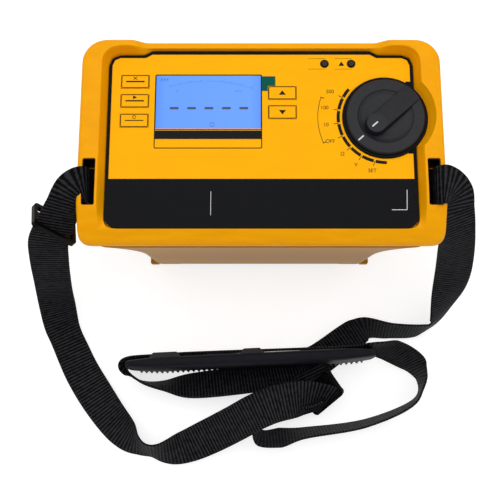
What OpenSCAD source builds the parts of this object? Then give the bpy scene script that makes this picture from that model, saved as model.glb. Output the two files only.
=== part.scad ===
// Portable insulation resistance tester with a neck strap. Units are millimetres.
// The case stands on its base at Z 0, the panel faces up and the operator is on the -Y side.

/* [Case] */
// Width of the bezel, the widest part of the case
case_w = 225; // [200:1:270]
// Depth of the bezel, front to back
case_d = 130; // [118:1:156]
// Height of the control panel's face above the table
panel_z = 118; // [104:1:142]
// Height of the bezel's rim above the panel
rim_h = 8; // [5:0.5:11]
// Height of the bezel's skirt below the panel's face
skirt_h = 22; // [18:1:27]
// How much narrower the base is than the bezel, on each side
side_taper = 31; // [26:0.5:34]
// How far the front and back walls run in towards the base
front_taper = 9; // [5:0.5:12]
// Thickness of the moulded walls
wall = 3; // [2.4:0.1:3.6]
// Height of the skids under the case
skid_h = 2; // [1.5:0.5:3]
// Width of each skid
skid_w = 6.5; // [5:0.5:8]

/* [Panel] */
// Width of the yellow rim on each side of the panel
rim_side = 16.5; // [14:0.5:20]
// Thickness of the black panel plate
plate_t = 4; // [3.5:0.5:5]
// Depth of the black strip at the front of the panel
band_d = 31; // [25:1:36]
// Thickness of the printed overlay film
film_t = 0.4; // [0.3:0.1:0.6]
// Width of the display window
window_w = 65.7; // [54:0.1:78]
// Depth of the display window
window_d = 35; // [29:0.5:42]
// Width of a key
key_w = 17.6; // [14:0.1:21]
// Depth of a key
key_d = 8.8; // [7:0.1:10.6]
// How far a key goes down
key_travel = 0.6; // [0.4:0.1:0.8]
// Radius of an indicator lamp
lamp_r = 1.9; // [1.5:0.1:2.3]

/* [Rotary switch] */
// Radius of the knob's disc
knob_r = 24.8; // [20:0.2:25.4]
// Height of the knob from its underside to the top of its grip
knob_h = 7; // [6:0.5:12]
// Width of the knob's grip bar
grip_w = 12; // [9:0.5:14]
// Radius of the switch shaft
shaft_r = 3; // [2.5:0.1:3.6]
// Running clearance round the shaft
shaft_gap = 0.06; // [0.03:0.01:0.09]

/* [Sockets and battery] */
// Distance between neighbouring measuring sockets
socket_pitch = 19; // [16:0.5:22]
// Inner radius of a socket's contact sleeve
socket_r = 2; // [1.8:0.05:2.2]
// Radius of a battery cell
cell_r = 13; // [11:0.1:13.2]
// Length of a battery cell
cell_l = 50; // [42:0.5:52]
// Radius of a case screw's shank
screw_r = 2; // [1.5:0.1:2.2]

/* [Strap] */
// Width of the webbing
web_w = 25; // [21:0.5:26]
// Thickness of the webbing
web_t = 1.6; // [1.3:0.1:1.9]
// Length of the shoulder pad
pad_l = 172; // [144:1:184]
// Height of the shoulder pad as it stands on its edge
pad_h = 44; // [40:1:50]
// Thickness of the shoulder pad
pad_t = 8.5; // [7:0.5:10]

/* [Hidden] */
$fn = 48;

eps = 0.01;
fit = 0.3;
case_hw = case_w / 2;
case_hd = case_d / 2;
rim_z = panel_z + rim_h;
skirt_z = panel_z - skirt_h;
yellow = [0.97, 0.66, 0.03];
black = [0.1, 0.1, 0.11];
web_black = [0.08, 0.08, 0.09];

// Panel opening, from the front edge of the black strip to the back edge
open_hw = case_hw - rim_side;
open_y0 = -case_hd + 9;
open_y1 = case_hd - 5.5;
step_x = open_hw - 25;
step_y = 2.8;
collar_r = knob_r + 1.6;
knob_x = open_hw - 18.7;
knob_y = open_y0 + 70.6;
plate_z0 = panel_z - plate_t;
film_z1 = panel_z + film_t;
window_x = -33.1;
window_y = open_y0 + 81.3;
key_left_x = -79.3;
key_right_x = 13.3;
key_places = [
    [key_left_x, open_y0 + 94.75], [key_left_x, open_y0 + 81.85], [key_left_x, open_y0 + 68.8],
    [key_right_x, open_y0 + 87.2], [key_right_x, open_y0 + 74.4]
];
lamp_places = [[40.2, open_y0 + 106.9], [57.1, open_y0 + 106.9]];

// Strap slots in the side rims
slot_x0 = case_hw - 11.6;
slot_x1 = case_hw - 3.6;
slot_y0 = open_y0 + 12.7;
slot_y1 = slot_y0 + web_w + 4.2;
slot_z0 = skirt_z + 7;
liner_t = 0.6;

// Case screws and their posts
post_x = case_hw - side_taper - 11.5;
post_y = case_hd - front_taper - 8.5;
post_r = screw_r + 2.6;
post_places = [for (sx = [-1, 1], sy = [-1, 1]) [sx * post_x, sy * post_y]];
post_top = skirt_z - 1;
post_end = plate_z0 - 5.3;

// Battery bay in the base
cell_n = 4;
cell_pitch = 2 * cell_r + 0.6;
bay_hw = cell_n * cell_pitch / 2 + 1;
bay_y0 = -case_hd + front_taper + 7;
bay_y1 = bay_y0 + cell_l + 6;
lid_t = 2.5;
lid_z0 = skid_h;
box_t = 1.5;
box_z0 = lid_z0 + lid_t + 0.6;
box_z1 = box_z0 + 2 * cell_r + 2.5;
cell_z = box_z0 + cell_r + 0.5;
floor_z1 = skid_h + wall;

// Boards
board_t = 1.6;
board_z = box_z1 + 30;
upper_z = plate_z0 - 9;
switch_z0 = upper_z + board_t;

// Socket block in the rear wall
socket_z = board_z + 15;
socket_face_y = case_hd - 2.6;
socket_xs = [for (i = [-1 : 1]) i * socket_pitch];
sleeve_r = socket_r + 0.9;
sleeve_l = 22;
block_hw = socket_pitch + 12;
block_hh = 11;
block_d = 15;

// ---------- shared shapes ----------

// One closed outline: half width a, front edge y0, back edge y1, front and back corner radii
function corner(cx, cy, r, a0, n) =
    [for (i = [0 : n]) [cx + r * cos(a0 + 90 * i / n), cy + r * sin(a0 + 90 * i / n)]];
function outline(a, y0, y1, rf, rb, n = 6) = concat(
    corner(a - rb, y1 - rb, rb, 0, n), corner(-a + rb, y1 - rb, rb, 90, n),
    corner(-a + rf, y0 + rf, rf, 180, n), corner(a - rf, y0 + rf, rf, 270, n));

// Skin over rings of equal point count, closed at both ends
module skin(rings, ribbon = false) {
    n = len(rings[0]);
    k = len(rings);
    side = [for (j = [0 : k - 2], i = [0 : n - 1])
        let (a = j * n + i, b = j * n + (i + 1) % n)
        each ribbon && i > n / 2 - 1 ? [[a, a + n, b], [b, a + n, b + n]]
            : [[a, a + n, b + n], [a, b + n, b]]];
    low = [for (i = [0 : n - 1]) i];
    high = [for (i = [n - 1 : -1 : 0]) (k - 1) * n + i];
    polyhedron([for (r = rings) each r], concat([low], side, [high]), convexity = 6);
}

function lifted(pts, z) = [for (p = pts) [p[0], p[1], z]];

// Case section at a share s of the way from the base, 0, to the skirt, 1, shrunk by d all round
function taper(s) = 0.1 * s + 0.9 * pow(s, 6);
function case_ring(s, z, d) = lifted(outline(
    case_hw - side_taper + (side_taper - 5) * taper(s) - d,
    -case_hd + front_taper * (1 - s) + 1.8 * s + d,
    case_hd - front_taper * (1 - s) - 1.8 * s - d,
    10 - d / 2, 12 - d / 2), z);

module box3(x0, x1, y0, y1, z0, z1) {
    translate([x0, y0, z0]) cube([x1 - x0, y1 - y0, z1 - z0]);
}

module plate_box(cx, cy, w, d, z0, z1) {
    box3(cx - w / 2, cx + w / 2, cy - d / 2, cy + d / 2, z0, z1);
}

module disc_at(p, r, z0, z1) {
    translate([p[0], p[1], z0]) cylinder(r = r, h = z1 - z0);
}

// Outline of the panel opening, grown by g: its back edge steps forward at the corners
function panel_outline(g) = [
    [-open_hw - g, open_y0 + 5], [-open_hw + 5, open_y0 - g], [open_hw - 5, open_y0 - g],
    [open_hw + g, open_y0 + 5], [open_hw + g, open_y1 - step_y - 7 + g],
    [open_hw - 2 + g, open_y1 - step_y - 2 + g], [open_hw - 7 + g, open_y1 - step_y + g],
    [step_x + 3, open_y1 - step_y + g], [step_x - 2, open_y1 + g],
    [-step_x + 2, open_y1 + g], [-step_x - 3, open_y1 - step_y + g],
    [-open_hw + 7 - g, open_y1 - step_y + g], [-open_hw + 2 - g, open_y1 - step_y - 2 + g],
    [-open_hw - g, open_y1 - step_y - 7 + g]
];

module panel_prism(g, z0, z1) {
    translate([0, 0, z0]) linear_extrude(z1 - z0) polygon(panel_outline(g));
}

// ---------- case ----------

module bezel_body() {
    rf = 6;
    rb = 15;
    skin([
        lifted(outline(case_hw - 4.6, -case_hd + 1.2, case_hd - 1.2, rf, rb), skirt_z),
        lifted(outline(case_hw - 0.6, -case_hd + 0.3, case_hd - 0.3, rf, rb), panel_z - 8),
        lifted(outline(case_hw, -case_hd, case_hd, rf, rb), panel_z - 2),
        lifted(outline(case_hw - 0.4, -case_hd, case_hd - 0.2, rf, rb), rim_z - 3),
        lifted(outline(case_hw - 1, -case_hd + 1, case_hd - 0.6, rf, rb), rim_z - 0.8),
        lifted(outline(case_hw - 2.4, -case_hd + 3, case_hd - 1.8, rf, rb), rim_z)
    ]);
}

module bezel() {
    color(yellow) difference() {
        union() {
            difference() {
                bezel_body();
                skin([
                    lifted(outline(case_hw - wall - 4.9, -case_hd + wall + 1.2, case_hd - wall - 1.2,
                        5, 12), skirt_z - 1),
                    lifted(outline(case_hw - wall - 0.6, -case_hd + wall, case_hd - wall, 5, 12),
                        panel_z - 8),
                    lifted(outline(case_hw - wall, -case_hd + wall, case_hd - wall, 5, 12),
                        plate_z0 - 3)
                ]);
            }
            // solid cheeks that carry the strap slots, and ribs that hold the screw posts
            intersection() {
                bezel_body();
                for (s = [-1, 1])
                    box3(s > 0 ? slot_x0 - 2.5 : -case_hw, s > 0 ? case_hw : -slot_x0 + 2.5,
                        slot_y0 - 3, slot_y1 + 3, skirt_z, panel_z);
            }
            for (p = post_places) {
                disc_at(p, post_r, post_top + 1.3, post_end);
                box3(min(p[0], sign(p[0]) * (case_hw - 6)), max(p[0], sign(p[0]) * (case_hw - 6)),
                    p[1] - 1, p[1] + 1, post_top + 1.3, upper_z - 2.5);
            }
        }
        // opening for the panel, with a sloping wall above it
        panel_prism(fit, plate_z0, panel_z + 0.6);
        skin([lifted(panel_outline(0.3), panel_z + 0.5), lifted(panel_outline(4.3), rim_z + 1)]);
        panel_prism(-3, plate_z0 - 4, plate_z0 + 1);
        // hollow round the knob's collar
        disc_at([knob_x, knob_y], collar_r + 0.5, plate_z0, rim_z + 1);
        translate([knob_x, knob_y, panel_z + 1])
            cylinder(r1 = collar_r + 0.5, r2 = collar_r + 5, h = rim_h + 0.5);
        // the rim falls away towards the operator
        rotate([90, 0, 90]) translate([0, 0, -case_hw - 1]) linear_extrude(case_w + 2)
            polygon([[open_y0 + 17, rim_z + 2], [open_y0 + 13, rim_z - 0.2],
                [open_y0 - 0.5, panel_z + 0.6], [-case_hd - 1, panel_z - 7], [-case_hd - 1, rim_z + 2]]);
        for (s = [-1, 1]) slot_cut(s);
        for (p = post_places) disc_at(p, screw_r - 0.15, post_top, post_end - 1);
        // the rim dips across the middle of the back
        translate([0, case_hd + 1, 0]) rotate([90, 0, 0]) linear_extrude(20) polygon([
            [-step_x - 11, rim_z + 1], [-step_x - 10, rim_z], [-step_x, rim_z - 5],
            [step_x, rim_z - 5], [step_x + 10, rim_z], [step_x + 11, rim_z + 1]]);
    }
}

// Slot for the webbing: down through the rim, then out through the side under a bar
module slot_cut(s) {
    xa = s > 0 ? slot_x0 : -slot_x1;
    xb = s > 0 ? slot_x1 : -slot_x0;
    box3(xa, xb, slot_y0, slot_y1, slot_z0, rim_z + 1);
    box3(s > 0 ? slot_x0 : -case_hw - 1, s > 0 ? case_hw + 1 : -slot_x0,
        slot_y0, slot_y1, slot_z0, slot_z0 + 5);
}

module lower_shell() {
    shares = [0, 0.3, 0.5, 0.62, 0.72, 0.8, 0.87, 0.94, 1];
    top = skirt_z - 0.8;
    color(yellow) difference() {
        union() {
            difference() {
                skin([for (s = shares) case_ring(s, skid_h + s * (top - skid_h), 0)]);
                skin([for (s = shares) case_ring(s, floor_z1 + s * (top + eps - floor_z1), wall)]);
            }
            for (p = post_places) disc_at(p, post_r, skid_h + eps, post_top);
            for (s = [-1, 1]) skid(s);
        }
        // battery opening in the floor, with a rebate for the lid
        box3(-bay_hw - 1, bay_hw + 1, bay_y0 - 1, bay_y1 + 1, 0, floor_z1 + 1);
        box3(-bay_hw - 5, bay_hw + 5, -case_hd, bay_y1 + 5, 0, lid_z0 + lid_t + 0.2);
        // window for the socket block in the rear wall
        box3(-block_hw + 2, block_hw - 2, case_hd - 20, case_hd, socket_z - block_hh + 2,
            socket_z + block_hh - 2);
        box3(-block_hw - fit, block_hw + fit, socket_face_y - 3 - fit, case_hd,
            socket_z - block_hh - fit, socket_z + block_hh + fit);
        for (p = post_places) {
            disc_at(p, screw_r + 0.15, -1, post_top + 1);
            disc_at(p, screw_r + 2, -1, skid_h + 1.5);
        }
    }
}

module skid(s) {
    x1 = case_hw - side_taper - 0.5;
    box3(s > 0 ? x1 - skid_w : -x1, s > 0 ? x1 : -x1 + skid_w,
        -case_hd + front_taper + 0.2, case_hd - front_taper - 6, 0, skid_h + 2);
}

module case_seal() {
    color(black) difference() {
        skin([
            lifted(outline(case_hw - 5.7, -case_hd + 2.8, case_hd - 2.8, 8, 12), skirt_z - 0.75),
            lifted(outline(case_hw - 5.7, -case_hd + 2.8, case_hd - 2.8, 8, 12), skirt_z - 0.05)
        ]);
        skin([
            lifted(outline(case_hw - 7.3, -case_hd + 4.4, case_hd - 4.4, 7, 11), skirt_z - 1),
            lifted(outline(case_hw - 7.3, -case_hd + 4.4, case_hd - 4.4, 7, 11), skirt_z + 1)
        ]);
    }
}

// ---------- panel ----------

module control_panel() {
    color(black) difference() {
        union() {
            panel_prism(0, plate_z0 + eps, panel_z);
            disc_at([knob_x, knob_y], collar_r, plate_z0 + eps, panel_z + 1.9);
            for (p = upper_screws) disc_at(p, 3, switch_z0, plate_z0 + 1);
        }
        window_hole(window_w + 0.4, window_d + 0.4, panel_z - 1);
        window_hole(window_w - 3, window_d - 3, plate_z0 - 1);
        for (p = key_places) {
            plate_box(p[0], p[1], key_w + 0.6, key_d + 0.6, panel_z - 1.5, panel_z + 1);
            plate_box(p[0], p[1], 7, 5, plate_z0 - 1, panel_z);
        }
        for (p = lamp_places) disc_at(p, lamp_r + 0.15, plate_z0 - 1, panel_z + 1);
        disc_at([knob_x, knob_y], knob_r + 0.4, panel_z + 0.1, panel_z + 3);
        disc_at([knob_x, knob_y], shaft_r + 1.5, plate_z0 - 1, panel_z + 2);
        disc_at([knob_x, knob_y], shaft_r + 5, panel_z - 1, panel_z + 2);
        for (p = upper_screws) disc_at(p, 1.2, switch_z0 - 1, plate_z0 + 2);
    }
}

module window_hole(w, d, z0) {
    plate_box(window_x, window_y, w, d, z0, panel_z + 1);
}

upper_screws = [
    [-88, open_y0 + 50], [post_x < 77.5 ? -88 : -post_x + 12, open_y0 + 104],
    [30, open_y0 + 50], [24, open_y0 + 104]
];

module front_overlay() {
    inset = 2;
    back = open_y1 - inset - 0.4;
    corner_back = back - step_y + 0.5;
    hw = open_hw - inset;
    color(yellow) difference() {
        translate([0, 0, panel_z + eps]) linear_extrude(film_t - eps) polygon([
            [-hw, open_y0 + band_d], [hw, open_y0 + band_d],
            [hw, corner_back - 5], [hw - 1.5, corner_back - 1.5], [hw - 5, corner_back],
            [step_x + 2, corner_back], [step_x - 2, back],
            [-step_x + 2, back], [-step_x - 2, corner_back],
            [-hw + 5, corner_back], [-hw + 1.5, corner_back - 1.5], [-hw, corner_back - 5]]);
        window_hole(window_w + 0.4, window_d + 0.4, panel_z - 1);
        disc_at([knob_x, knob_y], collar_r + 0.4, panel_z - 1, panel_z + 2);
        box3(knob_x + collar_r * 0.52, open_hw, knob_y - collar_r * 0.89, knob_y + collar_r * 0.92,
            panel_z - 1, panel_z + 2);
        for (p = key_places) plate_box(p[0], p[1], key_w + 0.5, key_d + 0.5, panel_z - 1, panel_z + 2);
        for (p = lamp_places) disc_at(p, lamp_r + 0.2, panel_z - 1, panel_z + 2);
    }
}

module display_window() {
    color([0.4, 0.62, 1]) plate_box(window_x, window_y, window_w, window_d, panel_z - 0.95,
        film_z1 + 0.1);
}

module display_bar() {
    y1 = window_y - window_d / 2 - 1.6;
    color([0.15, 0.15, 0.16]) box3(window_x - window_w / 2 - 0.6, window_x + window_w / 2 + 0.6,
        y1 - 5.5, y1, film_z1 + eps, film_z1 + 0.2);
}

module film_tab() {
    x0 = window_x + window_w / 2 + 0.6;
    p = key_places[3];
    color([0, 0.35, 0.31]) difference() {
        box3(x0, x0 + 8.6, window_y + 7.3, window_y + 17, film_z1 + eps, film_z1 + 0.25);
        plate_box(p[0], p[1], key_w + 0.8, key_d + 0.8, film_z1 - 1, film_z1 + 1);
    }
}

module lcd_module() {
    color([0.75, 0.78, 0.76]) {
        plate_box(window_x, window_y, window_w + 8, window_d + 8, plate_z0 - 5, plate_z0 - 0.3);
        for (sx = [-1, 1]) plate_box(window_x + sx * 30, window_y, 4, 30, switch_z0 + 0.05, plate_z0 - 4.9);
    }
}

// A key: a flat cap in its pocket and a plunger that reaches down to its dome
module key(i) {
    p = key_places[i];
    color(yellow) {
        plate_box(p[0], p[1], key_w, key_d, panel_z - 0.8, film_z1 + 0.3);
        plate_box(p[0], p[1], 6, 4, switch_z0 + 0.5 + key_travel + 0.2, panel_z - 0.7);
    }
}

module key_upper_left() key(0);
module key_middle_left() key(1);
module key_lower_left() key(2);
module key_up() key(3);
module key_down() key(4);

module key_domes() {
    color("silver") for (p = key_places) disc_at(p, 2.4, switch_z0 + 0.02, switch_z0 + 0.5);
}

module lamp(i) {
    color([0.25, 0.08, 0.06]) {
        disc_at(lamp_places[i], lamp_r, switch_z0 + 0.05, film_z1);
        translate([lamp_places[i][0], lamp_places[i][1], film_z1]) intersection() {
            scale(1) sphere(r = lamp_r);
            translate([-5, -5, -0.5]) cube([10, 10, 1.3]);
        }
    }
}

module lamp_left() lamp(0);
module lamp_right() lamp(1);

// ---------- rotary switch ----------

knob_z0 = panel_z + 0.5;
knob_z1 = knob_z0 + knob_h;
disc_h = 3.2;
pointer_a = 222.2;

module knob() {
    color(black) translate([knob_x, knob_y, 0]) difference() {
        union() {
            rotate_extrude() polygon([
                [0, knob_z0], [knob_r - 0.6, knob_z0], [knob_r, knob_z0 + 0.6],
                [knob_r, knob_z0 + disc_h - 1], [knob_r - 0.9, knob_z0 + disc_h],
                [knob_r * 0.71, knob_z0 + disc_h], [knob_r * 0.68, knob_z0 + disc_h - 0.5],
                [knob_r * 0.6, knob_z0 + disc_h - 1.1], [knob_r * 0.45, knob_z0 + disc_h - 1.5],
                [0, knob_z0 + disc_h - 1.6]]);
            rotate([0, 0, pointer_a]) intersection() {
                grip();
                translate([0, 0, knob_z0]) cylinder(r = knob_r - 0.5, h = knob_h + 1);
            }
        }
        translate([0, 0, knob_z0 - 1]) cylinder(r = shaft_r, h = 5.6);
        translate([0, 0, knob_z0 - 1]) cylinder(r = shaft_r + 6, h = 1.6);
        rotate([0, 0, pointer_a]) knob_grooves(0.15);
    }
}

// Grip bar: rounded at the pointer's end, running out to the disc's edge at the other
module grip() {
    tip = knob_r * 0.35;
    hull() {
        translate([tip, 0, knob_z0 + 1]) cylinder(r = grip_w / 2 + 1, h = 1, $fn = 32);
        translate([tip, 0, knob_z1 - 1]) cylinder(r = grip_w / 2, h = 1, $fn = 32);
        translate([-knob_r, -grip_w / 2 - 0.5, knob_z0 + 1]) cube([2, grip_w + 1, 1]);
        translate([-knob_r, -grip_w / 2, knob_z0 + disc_h - 0.6]) cube([2, grip_w, 1]);
    }
}

module knob_grooves(g) {
    translate([knob_r * 0.31 - g, -0.45 - g, knob_z1 - 0.5]) cube([4.6 + 2 * g, 0.9 + 2 * g, 1]);
    translate([knob_r * 0.77 - g, -0.45 - g, knob_z0 + disc_h - 0.5])
        cube([4.4 + 2 * g, 0.9 + 2 * g, 1]);
}

module knob_marks() {
    color("white") translate([knob_x, knob_y, 0]) rotate([0, 0, pointer_a]) {
        translate([knob_r * 0.31, -0.45, knob_z1 - 0.5]) cube([4.6, 0.9, 0.52]);
        translate([knob_r * 0.77, -0.45, knob_z0 + disc_h - 0.5]) cube([4.4, 0.9, 0.52]);
    }
}

module switch_shaft() {
    color("silver") disc_at([knob_x, knob_y], shaft_r, switch_z0 + 1, knob_z0 + 4.6 - eps);
}

module switch_bush() {
    color([0.8, 0.65, 0.3]) difference() {
        union() {
            disc_at([knob_x, knob_y], shaft_r + 1.4, switch_z0 + 5.6, panel_z + 0.5);
            disc_at([knob_x, knob_y], shaft_r + 5, switch_z0 + 4.6, switch_z0 + 5.6);
        }
        disc_at([knob_x, knob_y], shaft_r + shaft_gap, 0, panel_z + 5);
    }
}

module switch_nut() {
    color("silver") translate([knob_x, knob_y, panel_z - 0.95]) difference() {
        cylinder(r = shaft_r + 4, h = 1.4, $fn = 6);
        translate([0, 0, -1]) cylinder(r = shaft_r + 1.42, h = 4);
    }
}

module switch_housing() {
    color([0.2, 0.22, 0.2]) difference() {
        union() {
            disc_at([knob_x, knob_y], 14, switch_z0 + 0.05, switch_z0 + 4.5);
            for (a = [0 : 30 : 330]) translate([knob_x, knob_y, switch_z0 + 0.05]) rotate([0, 0, a])
                translate([13, -0.8, 0]) cube([3, 1.6, 3]);
        }
        disc_at([knob_x, knob_y], shaft_r + 0.2, switch_z0 + 0.8, switch_z0 + 6);
    }
}

// ---------- boards ----------

module display_board() {
    color([0.05, 0.35, 0.15]) difference() {
        box3(-open_hw + 3, open_hw, open_y0 + 44, open_y1 - 3, upper_z, upper_z + board_t);
        for (p = post_places) disc_at(p, post_r + 0.6, upper_z - 1, upper_z + 3);
        for (p = upper_screws) disc_at(p, 1.5, upper_z - 1, upper_z + 3);
    }
}

module board_screws() {
    color("silver") for (p = upper_screws) {
        disc_at(p, 2.4, upper_z - 1.5, upper_z);
        disc_at(p, 1.2, upper_z - 0.5, upper_z + board_t + 5);
    }
}

module main_board() {
    share = (board_z - skid_h) / (skirt_z - 0.8 - skid_h);
    hw = case_hw - side_taper + min(-1, (side_taper - 5) * taper(share) - wall - 1);
    color([0.05, 0.35, 0.15]) difference() {
        box3(-hw, hw, -case_hd + front_taper + 6, case_hd - front_taper - 14, board_z,
            board_z + board_t);
        for (p = post_places) disc_at(p, post_r + 0.4, board_z - 1, board_z + 3);
    }
    // pillars between the board and the battery box
    color("silver") for (x = [-50, 0, 50]) disc_at([x, bay_y0 + 20], 3, box_z1 + 0.02, board_z + eps);
}

module on_board(x, y, w, d, h) {
    plate_box(x, y, w, d, board_z + board_t + 0.02, board_z + board_t + h);
}

module transformer() {
    color([0.75, 0.6, 0.15]) {
        on_board(-52, -10, 34, 30, 4);
        on_board(-52, -10, 26, 22, 24);
        on_board(-52, -10, 34, 12, 22);
    }
}

module relays() {
    color([0.9, 0.9, 0.88]) for (i = [0 : 2]) on_board(-12 + i * 14, -8, 11, 26, 13);
}

module capacitors() {
    z = board_z + board_t;
    color([0.1, 0.15, 0.4]) for (i = [0 : 3]) disc_at([-20 + i * 14, 20], 5, z + 0.02, z + 17);
}

module chips() {
    color(black) for (p = [[44, -6, 14], [44, 16, 10], [62, -6, 8], [62, 12, 8]])
        on_board(p[0], p[1], p[2], p[2], 2);
}

module fuse() {
    z = board_z + board_t + 7;
    color([0.85, 0.85, 0.8]) translate([-14, -38, z]) rotate([0, 90, 0]) cylinder(r = 3, h = 32);
}

module fuse_clips() {
    z = board_z + board_t;
    color("silver") for (x = [-13, 12]) difference() {
        box3(x, x + 5, -42.2, -33.8, z + 0.02, z + 10);
        translate([x - 1, -38, z + 7]) rotate([0, 90, 0]) cylinder(r = 3.05, h = 8);
        box3(x - 1, x + 6, -40.4, -35.6, z + 7, z + 12);
    }
}

module socket_block() {
    color(black) difference() {
        union() {
            box3(-block_hw, block_hw, socket_face_y - 3, socket_face_y, socket_z - block_hh,
                socket_z + block_hh);
            box3(-block_hw + 3, block_hw - 3, socket_face_y - block_d, socket_face_y - 2,
                socket_z - block_hh + 3, socket_z + block_hh - 3);
        }
        for (x = socket_xs) translate([x, socket_face_y + 1, socket_z]) rotate([90, 0, 0]) {
            cylinder(r = socket_r + 0.4, h = 30);
            translate([0, 0, 4]) cylinder(r = sleeve_r + 0.05, h = 30);
        }
    }
}

module socket_sleeves() {
    color([0.8, 0.65, 0.3]) for (x = socket_xs)
        translate([x, socket_face_y - 3.5, socket_z]) rotate([90, 0, 0]) difference() {
            cylinder(r = sleeve_r, h = sleeve_l);
            translate([0, 0, -1]) cylinder(r = socket_r, h = sleeve_l - 1);
        }
}

// ---------- battery ----------

module battery_box() {
    color(black) difference() {
        box3(-bay_hw, bay_hw, bay_y0, bay_y1, box_z0, box_z1);
        box3(-bay_hw + 0.8, bay_hw - 0.8, bay_y0 + box_t, bay_y1 - box_t, box_z0 - 1, box_z1 - box_t);
    }
}

module battery_cells() {
    y0 = bay_y0 + 3;
    color([0.25, 0.35, 0.45]) for (i = [0 : cell_n - 1])
        translate([(i - (cell_n - 1) / 2) * cell_pitch, y0, cell_z]) rotate([-90, 0, 0]) {
            cylinder(r = cell_r, h = cell_l - 2);
            cylinder(r = 4, h = cell_l - 0.5);
        }
}

module battery_springs() {
    color("silver") for (i = [0 : cell_n - 1]) {
        x = (i - (cell_n - 1) / 2) * cell_pitch;
        translate([x, bay_y0 + box_t + 0.02, cell_z]) rotate([-90, 0, 0]) cylinder(r = 5, h = 1.4);
        translate([x, bay_y1 - box_t - 0.9, cell_z]) rotate([-90, 0, 0]) cylinder(r = 6, h = 0.85);
    }
}

lid_screw_places = [[-bay_hw + 12, bay_y1 + 2.6], [bay_hw - 12, bay_y1 + 2.6]];

module battery_lid() {
    color(black) difference() {
        union() {
            box3(-bay_hw - 4.7, bay_hw + 4.7, -case_hd + front_taper + 0.6, bay_y1 + 4.7, lid_z0,
                lid_z0 + lid_t);
            for (i = [-1 : 1]) box3(i * 26 - 8, i * 26 + 8, bay_y0 + 14, bay_y0 + 38, lid_z0 - 0.4,
                lid_z0 + 0.5);
        }
        for (p = lid_screw_places) disc_at(p, 1.6, 0, lid_z0 + lid_t + 1);
    }
}

module lid_seal() {
    z = lid_z0 + lid_t;
    color([0.3, 0.3, 0.3]) difference() {
        box3(-bay_hw - 0.8, bay_hw + 0.8, bay_y0 - 0.8, bay_y1 + 0.8, z + 0.02, z + 0.58);
        box3(-bay_hw + 0.8, bay_hw - 0.8, bay_y0 + 0.8, bay_y1 - 0.8, z - 1, z + 2);
    }
}

module lid_screws() {
    color("silver") for (p = lid_screw_places) {
        disc_at(p, 2.3, lid_z0 - 0.9, lid_z0 - 0.02);
        disc_at(p, 1.5, lid_z0 - 0.4, lid_z0 + lid_t + 0.1);
    }
}

module case_screws() {
    color("silver") for (p = post_places) {
        difference() {
            disc_at(p, screw_r + 1.7, skid_h - 0.6, skid_h + 1.45);
            translate([p[0], p[1], skid_h - 1]) cylinder(r = 1.5, h = 1.6, $fn = 6);
        }
        disc_at(p, screw_r, skid_h + 1.4, post_top - 0.5);
        disc_at(p, screw_r - 0.2, post_top - 0.6, post_top + 9);
    }
}

// ---------- strap ----------

// Black liner of a strap slot: a sleeve of four walls
module slot_liner(s) {
    xa = s > 0 ? slot_x0 + 0.05 : -slot_x1 + 0.05;
    xb = s > 0 ? slot_x1 - 0.05 : -slot_x0 - 0.05;
    inner = s > 0 ? xa : xb - liner_t;
    color(black) {
        difference() {
            box3(xa, xb, slot_y0 + 0.05, slot_y1 - 0.05, slot_z0 + 5, rim_z - 1.5);
            box3(xa + liner_t, xb - liner_t, slot_y0 + liner_t, slot_y1 - liner_t, slot_z0,
                rim_z + 5);
        }
        box3(inner, inner + liner_t, slot_y0 + 0.05, slot_y1 - 0.05, slot_z0 + 0.02, slot_z0 + 5.1);
        box3(xa, xb, slot_y0 + 0.05, slot_y1 - 0.05, slot_z0 + 0.02, slot_z0 + 0.26);
    }
}

module slot_liner_left() slot_liner(-1);
module slot_liner_right() slot_liner(1);

// Where a point of the strap lies when the case is wider, deeper or taller than the standard one
function moved(p) = [p.x * case_hw / 112.5, p.y + slot_y0 + 43.3, p.z * panel_z / 118];

// Three-bar slider: a frame with a bar across its middle
module slider() {
    l = web_w + 6;
    color(black) difference() {
        hull() for (sx = [-1, 1], sy = [-1, 1])
            translate([sx * (l / 2 - 3), sy * 7, -1.5]) cylinder(r = 3, h = 3, $fn = 32);
        for (sy = [-1, 1]) plate_box(0, sy * 4.6, web_w + 1, 4.6, -3, 3);
    }
}

slider_left_at = [-129, -51, 106];
slider_left_turn = [-45, 42, -22];
slider_right_at = [43, -152, 17];
slider_right_turn = [6, -40, 41];

module slider_left() translate(moved(slider_left_at)) rotate(slider_left_turn) slider();
module slider_right() translate(moved(slider_right_at)) rotate(slider_right_turn) slider();

// Shoulder pad standing on its long edge, with ribs across its front face
pad_at = [-6, -129, 3];
pad_turn = [0, -1.5, 2.5];

module shoulder_pad() {
    color([0.16, 0.16, 0.18]) translate(moved(pad_at)) rotate(pad_turn) {
        hull() for (sx = [-1, 1], sz = [0, 1])
            translate([sx * (pad_l / 2 - 8), pad_t / 2, 8 + sz * (pad_h - 16)]) rotate([90, 0, 0])
                cylinder(r = 8, h = pad_t, $fn = 32);
        ribs = floor((pad_l - 20) / 3.6);
        for (i = [0 : ribs]) translate([-ribs * 1.8 + i * 3.6 - 0.9, -pad_t / 2 - 1.2, 4])
            cube([1.8, 1.4, pad_h - 8]);
    }
}

// Webbing: a flat section swept along its points; each point has a place and the way its width lies.
// The points are for the standard case and move with its slots when the case is another size
function unit(v) = v / norm(v);
function along(r, i) = unit(r[min(i + 1, len(r) - 1)][0] - r[max(i - 1, 0)][0]);
function web_ring(r, i) =
    let (t = along(r, i), w0 = r[i][1], w = unit(w0 - (w0 * t) * t), n = cross(t, w),
        a = web_w / 2, b = web_t / 2)
    [for (c = [[a, b / 2], [a - 1, b], [-a + 1, b], [-a, b / 2],
            [-a, -b / 2], [-a + 1, -b], [a - 1, -b], [a, -b / 2]])
        moved(r[i][0]) + c[0] * w + c[1] * n];

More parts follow.
